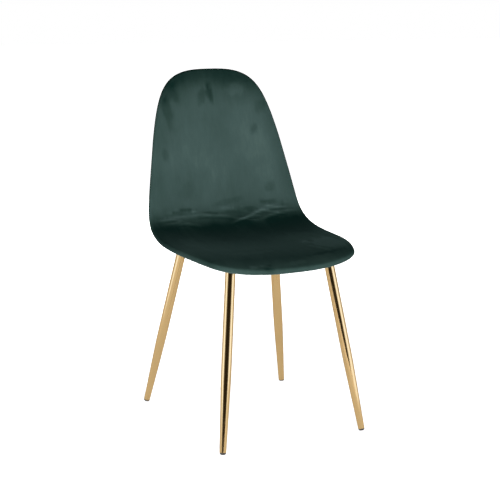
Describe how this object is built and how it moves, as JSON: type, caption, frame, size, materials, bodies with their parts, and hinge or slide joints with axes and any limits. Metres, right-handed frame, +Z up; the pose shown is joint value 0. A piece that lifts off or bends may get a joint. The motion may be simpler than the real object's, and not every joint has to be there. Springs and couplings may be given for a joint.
{
  "type": "dining chair",
  "caption": "Armless dining chair: a velvet-covered, padded shell curves from seat to back in one piece and stands on splayed, tapered gold metal legs.",
  "frame": {"origin": "on the floor, at the middle of the chair's outer box", "axes": "+Z up, -Y the way the sitter faces, +Y towards the back, +X towards the sitter's left; left and right in node names are the sitter's"},
  "size_m": [0.45, 0.498, 0.87],
  "materials": {
    "velvet": "dark green short-pile velvet with brushed lighter and darker patches",
    "foam": "cut polyurethane foam, hidden under the cover",
    "wadding": "white polyester wadding, hidden under the cover",
    "plywood": "moulded birch plywood, unfinished",
    "gold_metal": "polished gold-coloured plating on steel tube and plate",
    "zinc_steel": "bright zinc-plated steel",
    "glide_plastic": "dark moulded polyethylene"
  },
  "bodies": {
    "root": {"front_cover": "velvet", "rear_cover": "velvet", "front_foam": "foam", "rear_foam": "wadding", "inner_shell": "plywood", "leg_tube_front_left": "gold_metal", "leg_tube_front_right": "gold_metal", "leg_tube_rear_left": "gold_metal", "leg_tube_rear_right": "gold_metal", "leg_plate_front_left": "gold_metal", "leg_plate_front_right": "gold_metal", "leg_plate_rear_left": "gold_metal", "leg_plate_rear_right": "gold_metal", "foot_glide_front_left": "glide_plastic", "foot_glide_front_right": "glide_plastic", "foot_glide_rear_left": "glide_plastic", "foot_glide_rear_right": "glide_plastic", "bolt_front_left_1": "zinc_steel", "bolt_front_left_2": "zinc_steel", "bolt_front_left_3": "zinc_steel", "bolt_front_right_1": "zinc_steel", "bolt_front_right_2": "zinc_steel", "bolt_front_right_3": "zinc_steel", "bolt_rear_left_1": "zinc_steel", "bolt_rear_left_2": "zinc_steel", "bolt_rear_left_3": "zinc_steel", "bolt_rear_right_1": "zinc_steel", "bolt_rear_right_2": "zinc_steel", "bolt_rear_right_3": "zinc_steel", "tee_nut_front_left_1": "zinc_steel", "tee_nut_front_left_2": "zinc_steel", "tee_nut_front_left_3": "zinc_steel", "tee_nut_front_right_1": "zinc_steel", "tee_nut_front_right_2": "zinc_steel", "tee_nut_front_right_3": "zinc_steel", "tee_nut_rear_left_1": "zinc_steel", "tee_nut_rear_left_2": "zinc_steel", "tee_nut_rear_left_3": "zinc_steel", "tee_nut_rear_right_1": "zinc_steel", "tee_nut_rear_right_2": "zinc_steel", "tee_nut_rear_right_3": "zinc_steel"}
  },
  "joints": []
}
